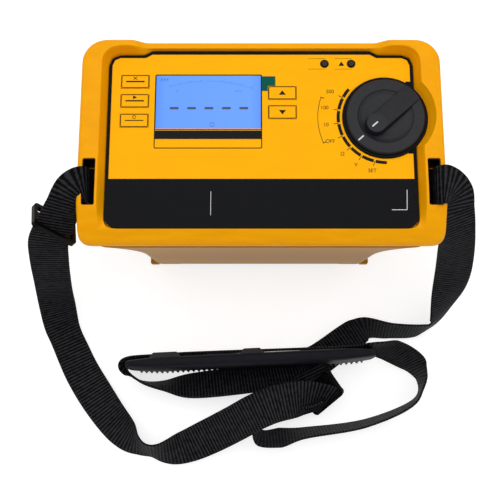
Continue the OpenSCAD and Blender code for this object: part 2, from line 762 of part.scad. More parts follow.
module webbing(r) {
    color(web_black) skin([for (i = [0 : len(r) - 1]) web_ring(r, i)], true);
}

left_route = [
    [[-106, -31, 112], [0, -1, 0]], [[-106, -31, 119], [0, -1, 0]],
    [[-108, -32, 125], [0, -1, -0.1]], [[-111, -34, 127], [0.1, -0.9, -0.4]],
    [[-115, -38, 125], [0.2, -0.7, -0.7]], [[-119, -43, 121], [0.4, -0.4, -0.8]],
    [[-124, -48, 115], [0.6, -0.2, -0.8]], [[-129, -54, 108], [0.7, -0.2, -0.7]],
    [[-134, -60, 98], [0.8, -0.2, -0.6]], [[-137, -68, 82], [0.9, -0.1, -0.4]],
    [[-140, -79, 58], [1, -0.1, -0.3]], [[-143, -90, 30], [0.9, 0, -0.5]],
    [[-142, -105, 13], [0.8, 0, -0.6]], [[-135, -122, 8], [0.9, 0.2, -0.5]],
    [[-127, -138, 6], [0.9, 0.2, -0.3]], [[-108, -166, 6], [0.9, 0.3, 0.2]],
    [[-96, -179, 9], [0.8, 0.3, 0.5]], [[-86, -187, 12], [0.5, 0.2, 0.8]],
    [[-77, -191, 14], [0.1, 0.3, 0.9]], [[-66, -192, 14], [-0.3, 0.6, 0.8]],
    [[-51, -188, 13], [-0.6, 0.7, 0.4]], [[-35, -181, 16], [-0.6, 0.8, 0.1]],
    [[-17, -172, 24], [-0.5, 0.9, 0]], [[-4, -165, 30], [-0.4, 0.9, 0]],
    [[8, -160, 32], [-0.4, 0.9, 0]], [[20, -157, 31], [-0.3, 0.9, 0.1]],
    [[32, -155, 26], [0.1, 0.9, 0.4]], [[42, -155, 22], [0.5, 0.7, 0.5]],
    [[49, -156, 18], [0.6, 0.6, 0.5]], [[47, -152, 15], [0.7, 0.6, 0.5]],
    [[41, -144, 14], [0.8, 0.6, 0.3]], [[36, -134, 14], [0.8, 0.5, 0.1]]
];
right_route = [
    [[106, -31, 112], [0, -1, 0]], [[106, -31, 119], [0, -1, 0]], [[107, -31, 125], [0, -1, 0.1]],
    [[111, -31, 128], [-0.2, -1, 0.1]], [[116, -33, 126], [-0.6, -0.7, 0.3]],
    [[119, -38, 121], [-0.9, -0.2, 0.4]], [[120, -46, 115], [-0.9, -0.1, 0.4]],
    [[123, -56, 101], [-0.9, -0.1, 0.4]], [[131, -77, 48], [-0.9, 0.1, 0.4]],
    [[128, -98, 17], [-0.5, -0.2, 0.8]], [[122, -104, 14], [-0.3, -0.1, 0.9]],
    [[114, -107, 14], [-0.1, 0.2, 1]], [[93, -107, 14], [0, 0.3, 0.9]],
    [[77, -105, 12], [-0.3, 0.5, 0.8]], [[70, -108, 10], [-0.5, 0.6, 0.6]],
    [[40, -129, 7], [-0.5, 0.8, 0.3]], [[26, -135, 8], [-0.3, 0.9, -0.4]],
    [[-50, -146, 11], [-0.1, 0.7, -0.7]], [[-68, -146, 13], [-0.1, 0.3, -0.9]],
    [[-82, -144, 14], [-0.1, 0.1, -1]], [[-90, -140, 15], [-0.1, 0, -1]],
    [[-95, -134, 18], [0, 0, -1]], [[-94, -129, 21], [0, 0, -1]], [[-70, -126, 25], [0, 0, -1]],
    [[66, -120, 27], [0, 0, -1]], [[81, -120, 27], [0, -0.2, -1]],
    [[93, -122, 22], [0, -0.5, -0.9]], [[111, -132, 14], [-0.2, -0.4, -0.9]],
    [[115, -140, 14], [-0.1, -0.1, -1]], [[114, -150, 14], [0.1, 0, -1]],
    [[108, -158, 14], [0.1, 0.1, -1]], [[75, -172, 14], [0.1, 0.2, -1]],
    [[30, -179, 14], [0.2, 0.3, -0.9]], [[14, -182, 13], [0.3, 0.5, -0.8]],
    [[0, -182, 13], [0.3, 0.3, -0.9]], [[-5, -175, 14], [0, 0, -1]], [[0, -168, 14], [0, 0, -1]],
    [[28, -161, 14], [0, 0.1, -1]], [[38, -157, 15], [0.3, 0.4, -0.9]],
    [[45, -153, 17], [0.6, 0.6, -0.5]]
];

module strap_left() webbing(left_route);
module strap_right() webbing(right_route);

bezel();
lower_shell();
case_seal();
control_panel();
front_overlay();
display_window();
display_bar();
film_tab();
lcd_module();
key_upper_left();
key_middle_left();
key_lower_left();
key_up();
key_down();
key_domes();
lamp_left();
lamp_right();
knob();
knob_marks();
switch_shaft();
switch_bush();
switch_nut();
switch_housing();
display_board();
board_screws();
main_board();
transformer();
relays();
capacitors();
chips();
fuse();
fuse_clips();
socket_block();
socket_sleeves();
battery_box();
battery_cells();
battery_springs();
battery_lid();
lid_seal();
lid_screws();
case_screws();
slot_liner_left();
slot_liner_right();
slider_left();
slider_right();
shoulder_pad();
strap_left();
strap_right();
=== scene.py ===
"""Portable insulation resistance tester with its neck strap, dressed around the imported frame."""
import math

import bmesh
import bpy
import numpy as np
from mathutils import Matrix, Vector


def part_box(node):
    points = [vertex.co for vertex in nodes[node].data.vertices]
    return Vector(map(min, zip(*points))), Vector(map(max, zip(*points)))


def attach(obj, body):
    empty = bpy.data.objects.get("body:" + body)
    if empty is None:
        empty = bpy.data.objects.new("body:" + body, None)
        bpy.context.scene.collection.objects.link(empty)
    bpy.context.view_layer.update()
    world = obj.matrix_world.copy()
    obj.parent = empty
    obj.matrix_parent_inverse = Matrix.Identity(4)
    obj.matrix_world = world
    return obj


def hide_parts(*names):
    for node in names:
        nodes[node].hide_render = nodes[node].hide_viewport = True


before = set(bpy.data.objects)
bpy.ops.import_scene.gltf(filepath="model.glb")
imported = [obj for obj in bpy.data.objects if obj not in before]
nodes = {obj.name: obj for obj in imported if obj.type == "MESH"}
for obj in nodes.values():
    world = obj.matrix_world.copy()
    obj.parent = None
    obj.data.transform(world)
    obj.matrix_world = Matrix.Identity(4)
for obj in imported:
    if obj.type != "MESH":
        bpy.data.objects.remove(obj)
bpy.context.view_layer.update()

bezel_lo, bezel_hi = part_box("bezel")
film_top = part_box("front_overlay")[1].z

# ---------------------------------------------------------------------------
# Camera: above the operator's side of the instrument, tipped 12 degrees off
# straight down, far enough away to take in the case and the whole strap.
camera_tip = math.radians(12)
camera_data = bpy.data.cameras.new("camera")
camera_data.sensor_width = 36
camera_data.lens = 57.6
camera = bpy.data.objects.new("camera", camera_data)
camera.location = (-0.007, -0.170, 0.590)
camera.rotation_euler = (camera_tip, 0, 0)
bpy.context.scene.collection.objects.link(camera)
bpy.context.scene.camera = camera


# ---------------------------------------------------------------------------
# Webbing: 25 mm polyester strap, woven with cross ribs 2.2 mm apart and a
# plain selvedge. Two lengths: the left one runs from its slot through both
# sliders, the right one carries the pad and is sewn to the second slider.
web_width = 0.025
web_thickness = 0.0016
rib_pitch = 0.0022
rib_relief = 0.28
steps_per_rib = 4
yarn_pitch = 0.0006


def linear(red, green, blue):
    """Colour of a finish, given as it looks on a screen from 0 to 255."""
    def one(c):
        c /= 255
        return c / 12.92 if c <= 0.04045 else ((c + 0.055) / 1.055) ** 2.4
    return (one(red), one(green), one(blue), 1)


def new_material(name, roughness=0.5, **sockets):
    """A material with one shader, whose sockets are given by name."""
    material = bpy.data.materials.new(name)
    material.use_nodes = True
    tree = material.node_tree
    shader = tree.nodes["Principled BSDF"]
    shader.inputs["Roughness"].default_value = roughness
    for socket, value in sockets.items():
        shader.inputs[socket.replace("_", " ")].default_value = value
    return material, tree, shader


def add_node(tree, kind, inputs=None, **settings):
    node = tree.nodes.new(kind)
    for key, value in settings.items():
        setattr(node, key, value)
    for key, value in (inputs or {}).items():
        if isinstance(value, bpy.types.NodeSocket):
            tree.links.new(value, node.inputs[key])
        else:
            node.inputs[key].default_value = value
    return node


def ramp(tree, factor, *stops):
    """A colour ramp from (position, colour) stops."""
    node = add_node(tree, "ShaderNodeValToRGB", {"Fac": factor})
    elements = node.color_ramp.elements
    elements[0].position, elements[0].color = stops[0]
    elements[1].position, elements[1].color = stops[-1]
    for position, colour in stops[1:-1]:
        elements.new(position).color = colour
    return node.outputs["Color"]


def noise(tree, scale, detail=2.0, roughness=0.5):
    """Even grain over the whole surface, from 0 to 1."""
    return add_node(tree, "ShaderNodeTexNoise", {"Scale": scale, "Detail": detail,
                                                 "Roughness": roughness}).outputs["Fac"]


def maths(tree, operation, *values):
    """The result of a sum on numbers or on other nodes' outputs."""
    return add_node(tree, "ShaderNodeMath", dict(enumerate(values)), operation=operation).outputs[0]


def add_bump(tree, shader, height, distance, strength=1.0):
    bump = add_node(tree, "ShaderNodeBump", {"Height": height, "Distance": distance,
                                             "Strength": strength})
    tree.links.new(bump.outputs["Normal"], shader.inputs["Normal"])


def smooth_line(points, step):
    """A smooth curve through the points, sampled every step; values beyond xyz follow along."""
    p = np.array(points, float)
    p = np.vstack([2 * p[0] - p[1], p, 2 * p[-1] - p[-2]])
    dense = []
    for a, b, c, d in zip(p[:-3], p[1:-2], p[2:-1], p[3:]):
        knots = np.cumsum([0] + [max(np.linalg.norm(v[:3] - u[:3]), 1e-6) ** 0.5
                                 for u, v in ((a, b), (b, c), (c, d))])
        for t in np.linspace(knots[1], knots[2], 60, endpoint=False):
            def mix(u, v, i, j):
                span = knots[j] - knots[i]
                return (knots[j] - t) / span * u + (t - knots[i]) / span * v
            ab, bc, cd = mix(a, b, 0, 1), mix(b, c, 1, 2), mix(c, d, 2, 3)
            dense.append(mix(mix(ab, bc, 0, 2), mix(bc, cd, 1, 3), 1, 2))
    dense = np.array(dense + [p[-2]])
    run = np.concatenate([[0], np.cumsum(np.linalg.norm(np.diff(dense[:, :3], axis=0), axis=1))])
    at = np.linspace(0, run[-1], int(round(run[-1] / step)) + 1)
    columns = [np.interp(at, run, dense[:, k]) for k in range(dense.shape[1])]
    return np.stack(columns, axis=1), run[-1]


def mesh_object(name, verts, faces, body="case", slot=None, smooth=True):
    mesh = bpy.data.meshes.new(name)
    mesh.from_pydata([tuple(v) for v in verts], [], [tuple(f) for f in faces])
    mesh.validate()
    mesh.update()
    obj = bpy.data.objects.new(name, mesh)
    bpy.context.scene.collection.objects.link(obj)
    for polygon in mesh.polygons:
        polygon.use_smooth = smooth
    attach(obj, body)
    return obj


def ring_faces(rows, columns):
    """Faces between rings of points, one ring after another."""
    return [(r * columns + c, r * columns + (c + 1) % columns,
             (r + 1) * columns + (c + 1) % columns, (r + 1) * columns + c)
            for r in range(rows - 1) for c in range(columns)]


def tube_faces(rows, columns):
    """Faces between rings of points, closed at both ends."""
    last = (rows - 1) * columns
    return ring_faces(rows, columns) + [tuple(range(columns))[::-1],
                                        tuple(range(last, last + columns))]


def webbing(name, route):
    """A ribbed strap along the route's points, each with the direction of the strap's width."""
    line, length = smooth_line([list(p) + list(w) for p, w in route], rib_pitch / steps_per_rib)
    centre, width = line[:, :3], line[:, 3:]
    tangent = np.gradient(centre, axis=0)
    tangent /= np.linalg.norm(tangent, axis=1)[:, None]
    width = width - (width * tangent).sum(1)[:, None] * tangent
    width /= np.linalg.norm(width, axis=1)[:, None]
    normal = np.cross(tangent, width)
    half, thick = web_width / 2, web_thickness / 2
    section = [(-1, 0), (-0.985, 0.75), (-0.94, 0.95), (-0.9, 0.8), (-0.3, 0.85), (0.3, 0.85),
               (0.9, 0.8), (0.94, 0.95), (0.985, 0.75), (1, 0), (0.985, -0.75), (0.94, -0.95),
               (0.9, -0.8), (0.3, -0.85), (-0.3, -0.85), (-0.9, -0.8), (-0.94, -0.95),
               (-0.985, -0.75)]
    rib = 1 + rib_relief * np.cos(np.arange(len(line)) * 2 * math.pi / steps_per_rib)
    verts = []
    for i in range(len(line)):
        for across, up in section:
            in_selvedge = abs(across) >= 0.92
            lift = up if in_selvedge else up * rib[i]
            verts.append(centre[i] + half * across * width[i] + thick * lift * normal[i])
    n = len(section)
    strap = mesh_object(name, verts, tube_faces(len(line), n), "case", "webbing")
    layer = strap.data.uv_layers.new(name="run")
    run = np.arange(len(line)) * length / (len(line) - 1)
    for loop in strap.data.loops:
        row, column = divmod(loop.vertex_index, n)
        layer.data[loop.index].uv = (run[row], section[column][0] * half)
    return strap, [tuple(c) for c in centre[::8]] + [tuple(centre[-1])], length


def webbing_material():
    material, tree, shader = new_material("webbing_polyester", 0.6, Specular_IOR_Level=0.06)
    uv = add_node(tree, "ShaderNodeUVMap", uv_map="run").outputs["UV"]
    split = add_node(tree, "ShaderNodeSeparateXYZ", {"Vector": uv})
    across = maths(tree, "MULTIPLY", split.outputs["Y"], 2 * math.pi / yarn_pitch)
    along = maths(tree, "MULTIPLY", split.outputs["X"], 2 * math.pi / rib_pitch)
    yarns = maths(tree, "SINE", across)
    ribs = maths(tree, "COSINE", along)
    weave = maths(tree, "MULTIPLY", yarns, ribs)
    height = maths(tree, "MULTIPLY_ADD", weave, 0.5, noise(tree, 900.0, 3.0))
    # the rib crests are painted lighter than the troughs, a painted highlight along each rib, with
    # random grain added on top
    crest = maths(tree, "MULTIPLY_ADD", ribs, 0.5, 0.5)
    tone = maths(tree, "MULTIPLY_ADD", crest, 0.6, noise(tree, 60.0, 4.0))
    tree.links.new(ramp(tree, tone, (0.3, linear(4, 4, 6)), (0.75, linear(10, 10, 12)),
                        (1.0, linear(46, 46, 50))), shader.inputs["Base Color"])
    add_bump(tree, shader, height, 0.00012, 0.8)
    return material


left_route = [
    ((-0.106, -0.031, 0.112), (0, -1, 0)), ((-0.106, -0.031, 0.119), (0, -1, 0)),
    ((-0.108, -0.032, 0.125), (0, -1, -0.1)), ((-0.111, -0.034, 0.127), (0.1, -0.9, -0.4)),
    ((-0.115, -0.038, 0.125), (0.2, -0.7, -0.7)), ((-0.119, -0.043, 0.121), (0.4, -0.4, -0.8)),
    ((-0.124, -0.048, 0.115), (0.6, -0.2, -0.8)), ((-0.129, -0.054, 0.108), (0.7, -0.2, -0.7)),
    ((-0.134, -0.06, 0.098), (0.8, -0.2, -0.6)), ((-0.137, -0.068, 0.082), (0.9, -0.1, -0.4)),
    ((-0.14, -0.079, 0.058), (1, -0.1, -0.3)), ((-0.143, -0.09, 0.03), (0.9, 0, -0.5)),
    ((-0.142, -0.105, 0.013), (0.8, 0, -0.6)), ((-0.135, -0.122, 0.008), (0.9, 0.2, -0.5)),
    ((-0.127, -0.138, 0.006), (0.9, 0.2, -0.3)), ((-0.108, -0.166, 0.006), (0.9, 0.3, 0.2)),
    ((-0.096, -0.179, 0.009), (0.8, 0.3, 0.5)), ((-0.086, -0.187, 0.012), (0.5, 0.2, 0.8)),
    ((-0.077, -0.191, 0.014), (0.1, 0.3, 0.9)), ((-0.066, -0.192, 0.014), (-0.3, 0.6, 0.8)),
    ((-0.051, -0.188, 0.013), (-0.6, 0.7, 0.4)), ((-0.035, -0.181, 0.016), (-0.6, 0.8, 0.1)),
    ((-0.017, -0.172, 0.024), (-0.5, 0.9, 0)), ((-0.004, -0.165, 0.03), (-0.4, 0.9, 0)),
    ((0.008, -0.16, 0.032), (-0.4, 0.9, 0)), ((0.02, -0.157, 0.031), (-0.3, 0.9, 0.1)),
    ((0.032, -0.155, 0.026), (0.1, 0.9, 0.4)), ((0.042, -0.155, 0.022), (0.5, 0.7, 0.5)),
    ((0.049, -0.156, 0.018), (0.6, 0.6, 0.5)), ((0.047, -0.152, 0.015), (0.7, 0.6, 0.5)),
    ((0.041, -0.144, 0.014), (0.8, 0.6, 0.3)), ((0.036, -0.134, 0.014), (0.8, 0.5, 0.1)),
]
right_route = [
    ((0.106, -0.031, 0.112), (0, -1, 0)), ((0.106, -0.031, 0.119), (0, -1, 0)),
    ((0.107, -0.031, 0.125), (0, -1, 0.1)), ((0.111, -0.031, 0.128), (-0.2, -1, 0.1)),
    ((0.116, -0.033, 0.126), (-0.6, -0.7, 0.3)), ((0.119, -0.038, 0.121), (-0.9, -0.2, 0.4)),
    ((0.12, -0.046, 0.115), (-0.9, -0.1, 0.4)), ((0.123, -0.056, 0.101), (-0.9, -0.1, 0.4)),
    ((0.131, -0.077, 0.048), (-0.9, 0.1, 0.4)), ((0.128, -0.098, 0.017), (-0.5, -0.2, 0.8)),
    ((0.122, -0.104, 0.014), (-0.3, -0.1, 0.9)), ((0.114, -0.107, 0.014), (-0.1, 0.2, 1)),
    ((0.093, -0.107, 0.014), (0, 0.3, 0.9)), ((0.077, -0.105, 0.012), (-0.3, 0.5, 0.8)),
    ((0.07, -0.108, 0.01), (-0.5, 0.6, 0.6)), ((0.04, -0.129, 0.007), (-0.5, 0.8, 0.3)),
    ((0.026, -0.135, 0.008), (-0.3, 0.9, -0.4)), ((-0.05, -0.146, 0.011), (-0.1, 0.7, -0.7)),
    ((-0.068, -0.146, 0.013), (-0.1, 0.3, -0.9)), ((-0.082, -0.144, 0.014), (-0.1, 0.1, -1)),
    ((-0.09, -0.14, 0.015), (-0.1, 0, -1)), ((-0.095, -0.134, 0.018), (0, 0, -1)),
    ((-0.094, -0.129, 0.021), (0, 0, -1)), ((-0.07, -0.126, 0.025), (0, 0, -1)),
    ((0.066, -0.12, 0.027), (0, 0, -1)), ((0.081, -0.12, 0.027), (0, -0.2, -1)),
    ((0.093, -0.122, 0.022), (0, -0.5, -0.9)), ((0.111, -0.132, 0.014), (-0.2, -0.4, -0.9)),
    ((0.115, -0.14, 0.014), (-0.1, -0.1, -1)), ((0.114, -0.15, 0.014), (0.1, 0, -1)),
    ((0.108, -0.158, 0.014), (0.1, 0.1, -1)), ((0.075, -0.172, 0.014), (0.1, 0.2, -1)),
    ((0.03, -0.179, 0.014), (0.2, 0.3, -0.9)), ((0.014, -0.182, 0.013), (0.3, 0.5, -0.8)),
    ((0, -0.182, 0.013), (0.3, 0.3, -0.9)), ((-0.005, -0.175, 0.014), (0, 0, -1)),
    ((0, -0.168, 0.014), (0, 0, -1)), ((0.028, -0.161, 0.014), (0, 0.1, -1)),
    ((0.038, -0.157, 0.015), (0.3, 0.4, -0.9)), ((0.045, -0.153, 0.017), (0.6, 0.6, -0.5)),
]
web_cloth = webbing_material()
strap_left, left_path, left_length = webbing("neck_strap_left", left_route)
strap_right, right_path, right_length = webbing("neck_strap_right", right_route)
for strap in (strap_left, strap_right):
    strap.data.materials.append(web_cloth)
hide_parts("strap_left")
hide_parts("strap_right")


# ---------------------------------------------------------------------------
# Bezel: yellow moulded frame that the panel sits in. Its rim is raised round
# the back and sides, slopes down to the panel, and falls away at the front.
# It is moulded in one piece with a slot in each cheek for the webbing.
case_half_width = bezel_hi.x
case_half_depth = bezel_hi.y
skirt_z = bezel_lo.z
rim_z = bezel_hi.z
panel_lo, panel_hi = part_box("control_panel")
open_half_width = case_half_width - 0.0165
open_front = panel_lo.y
open_back = panel_hi.y
panel_z = film_top - 0.0004
knob_lo, knob_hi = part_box("knob")
knob_x = (knob_lo.x + knob_hi.x) / 2
knob_y = (knob_lo.y + knob_hi.y) / 2
knob_radius = (knob_hi.x - knob_lo.x) / 2
collar_radius = knob_radius + 0.0016


def rounded_box(half_width, front, back, front_radius, back_radius, n=10):
    """Corner points of a rounded outline, counter-clockwise."""
    points = []
    corners = ((half_width - back_radius, back - back_radius, back_radius, 0),
               (-half_width + back_radius, back - back_radius, back_radius, 90),
               (-half_width + front_radius, front + front_radius, front_radius, 180),
               (half_width - front_radius, front + front_radius, front_radius, 270))
    for cx, cy, radius, start in corners:
        for i in range(n + 1):
            a = math.radians(start + 90 * i / n)
            points.append((cx + radius * math.cos(a), cy + radius * math.sin(a)))
    return points


def panel_outline(grow):
    """Outline of the panel opening: its back edge steps forward near the corners."""
    w, front, back = open_half_width, open_front, open_back
    step_x, step = w - 0.025, 0.0028
    return [(-w - grow, front + 0.005), (-w - grow + 0.0015, front + 0.0015 - grow),
            (-w + 0.005, front - grow), (w - 0.005, front - grow),
            (w + grow - 0.0015, front + 0.0015 - grow),
            (w + grow, front + 0.005), (w + grow, back - step - 0.007 + grow),
            (w - 0.002 + grow, back - step - 0.002 + grow), (w - 0.007 + grow, back - step + grow),
            (step_x + 0.003, back - step + grow), (step_x - 0.002, back + grow),
            (-step_x + 0.002, back + grow), (-step_x - 0.003, back - step + grow),
            (-w + 0.007 - grow, back - step + grow), (-w + 0.002 - grow, back - step - 0.002 + grow),
            (-w - grow, back - step - 0.007 + grow)]


ray_angles = np.linspace(0, 2 * math.pi, 720, endpoint=False)


def by_rays(points):
    """The outline's point on each of the fixed rays from the middle of the case."""
    p = np.array(points)
    q = np.roll(p, -1, axis=0)
    found = []
    for a in ray_angles:
        d = np.array([math.cos(a), math.sin(a)])
        cross_p = d[0] * p[:, 1] - d[1] * p[:, 0]
        cross_q = d[0] * q[:, 1] - d[1] * q[:, 0]
        best = 0
        for i in np.nonzero((cross_p <= 0) & (cross_q > 0) | (cross_p >= 0) & (cross_q < 0))[0]:
            t = cross_p[i] / (cross_p[i] - cross_q[i])
            hit = p[i] + t * (q[i] - p[i])
            best = max(best, hit @ d)
        found.append(best * d)
    found = np.array(found)
    for _ in range(3):
        found = (np.roll(found, 1, axis=0) + 2 * found + np.roll(found, -1, axis=0)) / 4
    return found


def rim_height(x, y):
    """Height of the rim: it falls to the front lip, and dips across the middle of the back."""
    known = ([-0.070, open_front - 0.0005, open_front + 0.013, open_front + 0.019, 0.1],
             [panel_z - 0.0105, panel_z + 0.0006, rim_z - 0.0006, rim_z, rim_z])
    around = [np.interp(y + k, *known) for k in np.linspace(-0.0016, 0.0016, 7)]
    dip = min(max((open_half_width - 0.014 - abs(x)) / 0.011, 0), 1)
    dip = 0.0050 * dip * dip * (3 - 2 * dip) if y > 0.03 else 0
    return float(np.mean(around)) - dip


def cut_with(obj, cutters, operation="DIFFERENCE"):
    for cutter in cutters:
        change = obj.modifiers.new("cut", "BOOLEAN")
        change.operation = operation
        change.solver = "EXACT"
        change.object = cutter
    dg = bpy.context.evaluated_depsgraph_get()
    obj.data = bpy.data.meshes.new_from_object(obj.evaluated_get(dg))
    obj.modifiers.clear()
    for cutter in cutters:
        bpy.data.objects.remove(cutter)


def solid(verts, faces):
    """A scratch solid to cut with."""
    mesh = bpy.data.meshes.new("cutter")
    mesh.from_pydata([tuple(v) for v in verts], [], faces)
    bm = bmesh.new()
    bm.from_mesh(mesh)
    bmesh.ops.recalc_face_normals(bm, faces=bm.faces)
    bm.to_mesh(mesh)
    bm.free()
    obj = bpy.data.objects.new("cutter", mesh)
    bpy.context.scene.collection.objects.link(obj)
    return obj


def prism(points, z0, z1, grow_top=None):
    top = grow_top or points
    n = len(points)
    verts = [(x, y, z0) for x, y in points] + [(x, y, z1) for x, y in top]
    faces = [tuple(range(n))[::-1], tuple(range(n, 2 * n))]
    faces += [(i, (i + 1) % n, n + (i + 1) % n, n + i) for i in range(n)]
    return solid(verts, faces)


def circle(cx, cy, radius, n=96):
    return [(cx + radius * math.cos(2 * math.pi * i / n), cy + radius * math.sin(2 * math.pi * i / n))
            for i in range(n)]


def box_points(x0, x1, y0, y1, radius=0.0):
    if not radius:
        return [(x0, y0), (x1, y0), (x1, y1), (x0, y1)]
    cx, cy = (x0 + x1) / 2, (y0 + y1) / 2
    return [(cx + x, cy + y) for x, y in
            rounded_box((x1 - x0) / 2, (y0 - y1) / 2, (y1 - y0) / 2, radius, radius, 5)]


def round_edges(obj, width, angle=35, segments=2):
    """Breaks the sharp edges, as a mould does, and shades the rest smooth."""
    bevel = obj.modifiers.new("edges", "BEVEL")
    bevel.width = width
    bevel.segments = segments
    bevel.limit_method = "ANGLE"
    bevel.angle_limit = math.radians(angle)
    soften(obj, angle)


def soften(obj, angle=35):
    mesh = obj.data
    if mesh.has_custom_normals:
        with bpy.context.temp_override(object=obj, active_object=obj, selected_objects=[obj]):
            bpy.ops.mesh.customdata_custom_splitnormals_clear()
    for polygon in mesh.polygons:
        polygon.use_smooth = True
    mesh.set_sharp_from_angle(angle=math.radians(angle))


def wall_outline(inset):
    """The bezel's outer wall, seen from above, drawn in by the inset."""
    return by_rays(rounded_box(case_half_width - inset, -case_half_depth + inset,
                               case_half_depth - inset, 0.006, 0.015))


def bezel_shell():
    """Rings from the hem up the outer wall, over the rim, down to the panel and back to the hem."""
    wall = [(0.0046, 0), (0.0034, 0.004), (0.0019, 0.009), (0.0008, 0.014), (0.0003, 0.018),
            (0, 0.0215), (0, 0.0250), (0.0003, 0.0275), (0.0007, 0.0287), (0.0013, 0.0294),
            (0.0020, 0.0298), (0.0028, 0.0300)]
    slope = [(1, 1), (0.93, 0.985), (0.84, 0.92), (0.72, 0.79), (0.4, 0.44), (0.12, 0.13),
             (0.03, 0.03)]
    hem = wall_outline(0.0076)
    rings = [np.column_stack([hem, np.full(len(hem), skirt_z)])]
    for inset, up in wall:
        ring = wall_outline(inset)
        z = [skirt_z + up / 0.030 * (rim_height(x, y) - skirt_z) for x, y in ring]
        rings.append(np.column_stack([ring, z]))
    crest = by_rays(rounded_box(0.0998, -0.0622, 0.0603, 0.005, 0.011))
    edge = by_rays(panel_outline(0.0004))
    crest_heights = [rim_height(x, y) for x, y in crest]
    for out, up in slope:
        ring = edge + out * (crest - edge)
        wanted = [panel_z + 0.0002 + up * (t - panel_z) if t > panel_z else panel_z + 0.0006
                  for t in crest_heights]
        z = [min(t, rim_height(x, y)) for t, (x, y) in zip(wanted, ring)]
        rings.append(np.column_stack([ring, z]))
    ledge = by_rays(panel_outline(-0.003))
    for ring, down in ((edge, 0.0005), (edge, 0.0040), (ledge, 0.0045), (ledge, 0.007),
                       (wall_outline(0.0040), 0.007)):
        rings.append(np.column_stack([ring, np.full(len(ring), panel_z - down)]))
    n = len(ray_angles)
    faces = ring_faces(len(rings), n)
    last = len(rings) - 1
    faces += [(last * n + c, last * n + (c + 1) % n, (c + 1) % n, c) for c in range(n)]
    return mesh_object("moulded_bezel", np.vstack(rings), faces, "case", "yellow_plastic")


yellow_grain = 0.00006


def yellow_moulding(name, base, deep):
    """Pigmented plastic with a fine spark-eroded grain and slightly uneven gloss."""
    material, tree, shader = new_material(name, 0.46, Specular_IOR_Level=0.08)
    fine = noise(tree, 1500.0, 3.0, 0.6)
    broad = noise(tree, 14.0, 5.0)
    tree.links.new(ramp(tree, broad, (0.3, deep), (0.7, base)), shader.inputs["Base Color"])
    gloss = add_node(tree, "ShaderNodeMapRange", {"Value": broad, "To Min": 0.36, "To Max": 0.5})
    tree.links.new(gloss.outputs["Result"], shader.inputs["Roughness"])
    add_bump(tree, shader, fine, yellow_grain, 0.55)
    return material


case_yellow = yellow_moulding("case_yellow", linear(250, 170, 2), linear(243, 162, 0))
# the tub's yellow is painted darker and browner than the bezel's, as painted shade for its shadowed
# front wall
tub_yellow_painted_shade = yellow_moulding("tub_yellow_painted_shade", linear(182, 127, 24), linear(172, 119, 20))
bezel = bezel_shell()
slot_floor_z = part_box("slot_liner_left")[0].z
cheek_inner = 0.0985
cheek_outer = 0.1085
liner_gap = 0.00006
cutters = [prism(circle(knob_x, knob_y, collar_radius + 0.0005), panel_z - 0.005, rim_z + 0.002),
           prism(circle(knob_x, knob_y, collar_radius + 0.0007), panel_z + 0.001, rim_z + 0.002,
                 circle(knob_x, knob_y, collar_radius + 0.0050))]
for liner in ("slot_liner_left", "slot_liner_right"):
    lo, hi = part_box(liner)
    side = 1 if lo.x > 0 else -1
    cutters.append(prism(box_points(lo.x - liner_gap, hi.x + liner_gap, lo.y - liner_gap,
                                    hi.y + liner_gap, 0.0012),
                         slot_floor_z - 0.0035, rim_z + 0.003))
    inner = lo.x if side > 0 else hi.x
    edge = side * (case_half_width + 0.002)
    cutters.append(prism(box_points(min(inner, edge), max(inner, edge), lo.y, hi.y), slot_floor_z,
                         slot_floor_z + 0.005))
    cheek_sides = sorted((side * cheek_inner, side * cheek_outer))
    cheek = box_points(*cheek_sides, lo.y - 0.003, hi.y + 0.003)
    cut_with(bezel, [prism(cheek, slot_floor_z - 0.003, panel_z - 0.001)], "UNION")
cut_with(bezel, cutters)
bezel.data.materials.append(case_yellow)
round_edges(bezel, 0.0005, 40)
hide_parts("bezel")


# ---------------------------------------------------------------------------
# Lower shell: deep yellow tub that narrows towards its base, moulded in the
# same plastic, with two skids underneath and a window for the sockets behind.
# Its yellow is painted darker and browner than the bezel's: painted shade for
# the front wall, which sits in shadow.
wall_thickness = 0.003
base_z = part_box("lower_shell")[0].z + 0.002


def tub_ring(share, z, inset):
    """One level of the tub, from its base at share 0 to its top at share 1."""
    spread = 0.1 * share + 0.9 * share ** 6
    half = case_half_width - 0.031 + 0.026 * spread - inset
    depth = case_half_depth - 0.009 * (1 - share) - 0.0018 * share - inset
    points = rounded_box(half, -depth, depth, 0.010 - inset / 2, 0.012 - inset / 2, 12)
    return [(x, y, z) for x, y in points]


def tub():
    top = skirt_z - 0.0008
    levels = [1 - (1 - i / 32) ** 1.5 for i in range(33)]
    rings = [[(x * 0.985, y * 0.985, base_z) for x, y, _ in tub_ring(0, 0, 0)],
             [(x * 0.996, y * 0.996, base_z + 0.0003) for x, y, _ in tub_ring(0, 0, 0)]]
    rings += [tub_ring(s, base_z + 0.001 + s * (top - base_z - 0.001), 0) for s in levels]
    rings += [tub_ring(s, base_z + 0.003 + s * (top - base_z - 0.003), wall_thickness)
              for s in levels[::-1]]
    points = [p for ring in rings for p in ring]
    faces = tube_faces(len(rings), len(rings[0]))
    return mesh_object("moulded_tub", points, faces, "case", "yellow_plastic")


